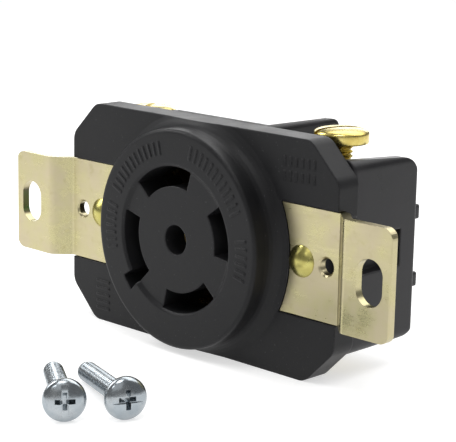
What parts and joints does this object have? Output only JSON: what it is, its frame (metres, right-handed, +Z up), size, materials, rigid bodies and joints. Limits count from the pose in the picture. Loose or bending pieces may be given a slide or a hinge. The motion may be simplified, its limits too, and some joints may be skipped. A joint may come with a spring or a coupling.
{
  "type": "locking power receptacle",
  "caption": "Flush-mount locking power outlet: round boss with curved blade slots and a ground hole, stepped mounting ears, rear body with clamp terminals, and two loose box screws.",
  "frame": {"origin": "on the boss axis, in the front plane of the brackets' inner flats, midway between the two wall plate screw holes", "axes": "+X runs from the left bracket to the right one as the user sees them, -Y faces the user, +Z is up as the receptacle stands on its long edge"},
  "size_m": [0.092, 0.069, 0.0417],
  "materials": {
    "black_nylon": "moulded black nylon, fine satin",
    "black_body": "moulded black thermoset, semi-gloss",
    "carrier_thermoset": "dark brown thermoset",
    "fibre_board": "pressed insulating fibre",
    "label_stock": "blank white polyester film",
    "zinc_yellow_steel": "steel with pale yellow zinc plating",
    "rivet_brass": "brass-plated steel rivet",
    "spring_brass": "bare stamped brass",
    "plate_brass": "bare stamped brass",
    "screw_brass": "brass-plated steel screw",
    "screw_green": "green-dyed steel screw",
    "clamp_steel": "nickel-plated steel",
    "screw_zinc": "bright zinc-plated steel"
  },
  "bodies": {
    "root": {"face_cover": "black_nylon", "bracket_left": "zinc_yellow_steel", "bracket_right": "zinc_yellow_steel", "rivet_left": "rivet_brass", "rivet_right": "rivet_brass", "rear_body": "black_body", "contact_carrier": "carrier_thermoset", "rear_insulator": "fibre_board", "assembly_screws": "screw_zinc", "rating_label": "label_stock", "contact_top": "spring_brass", "contact_right": "spring_brass", "contact_bottom": "spring_brass", "contact_left": "spring_brass", "ground_contact": "spring_brass", "terminal_plate_tl": "plate_brass", "terminal_plate_tr": "plate_brass", "terminal_plate_br": "plate_brass", "terminal_plate_bl": "plate_brass", "ground_plate": "plate_brass", "mounting_screw_a": "screw_zinc", "mounting_screw_b": "screw_zinc"},
    "clamp_tl": {"clamp_tl": "clamp_steel"},
    "screw_tl": {"terminal_screw_tl": "screw_brass"},
    "clamp_tr": {"clamp_tr": "clamp_steel"},
    "screw_tr": {"terminal_screw_tr": "screw_brass"},
    "clamp_br": {"clamp_br": "clamp_steel"},
    "screw_br": {"terminal_screw_br": "screw_brass"},
    "clamp_bl": {"clamp_bl": "clamp_steel"},
    "screw_bl": {"terminal_screw_bl": "screw_brass"},
    "clamp_ground": {"ground_clamp": "clamp_steel"},
    "screw_ground": {"ground_screw": "screw_green"}
  },
  "joints": [
    {"name": "clamp_tl_slide", "type": "slide", "parent": "root", "child": "clamp_tl", "axis": [0, 0, -1], "range_m": [-0.00165, 0.00305]},
    {"name": "screw_tl_turn", "type": "hinge", "parent": "clamp_tl", "child": "screw_tl", "pos_m": [-0.0234, 0.01085, 0.015], "axis": [0, 0, -1], "range_deg": [-750, 1384]},
    {"name": "clamp_tr_slide", "type": "slide", "parent": "root", "child": "clamp_tr", "axis": [0, 0, -1], "range_m": [0, 0.0047]},
    {"name": "screw_tr_turn", "type": "hinge", "parent": "clamp_tr", "child": "screw_tr", "pos_m": [0.0234, 0.01085, 0.015], "axis": [0, 0, -1], "range_deg": [0, 2132]},
    {"name": "clamp_br_slide", "type": "slide", "parent": "root", "child": "clamp_br", "axis": [0, 0, 1], "range_m": [-0.0038, 0]},
    {"name": "screw_br_turn", "type": "hinge", "parent": "clamp_br", "child": "screw_br", "pos_m": [0.0234, 0.01085, -0.015], "axis": [0, 0, 1], "range_deg": [-1724, 0]},
    {"name": "clamp_bl_slide", "type": "slide", "parent": "root", "child": "clamp_bl", "axis": [0, 0, 1], "range_m": [-0.0038, 0]},
    {"name": "screw_bl_turn", "type": "hinge", "parent": "clamp_bl", "child": "screw_bl", "pos_m": [-0.0234, 0.01085, -0.015], "axis": [0, 0, 1], "range_deg": [-1724, 0]},
    {"name": "clamp_ground_slide", "type": "slide", "parent": "root", "child": "clamp_ground", "axis": [1, 0, 0], "range_m": [0, 0.0022]},
    {"name": "screw_ground_turn", "type": "hinge", "parent": "clamp_ground", "child": "screw_ground", "pos_m": [-0.031, 0.0107, 0], "axis": [1, 0, 0], "range_deg": [0, 999]}
  ],
  "couplings": [
    {"joint": "screw_tl_turn", "follows": "clamp_tl_slide", "rad_per_m": 7913.3},
    {"joint": "screw_tr_turn", "follows": "clamp_tr_slide", "rad_per_m": 7913.3},
    {"joint": "screw_br_turn", "follows": "clamp_br_slide", "rad_per_m": 7913.3},
    {"joint": "screw_bl_turn", "follows": "clamp_bl_slide", "rad_per_m": 7913.3},
    {"joint": "screw_ground_turn", "follows": "clamp_ground_slide", "rad_per_m": 7913.3}
  ]
}
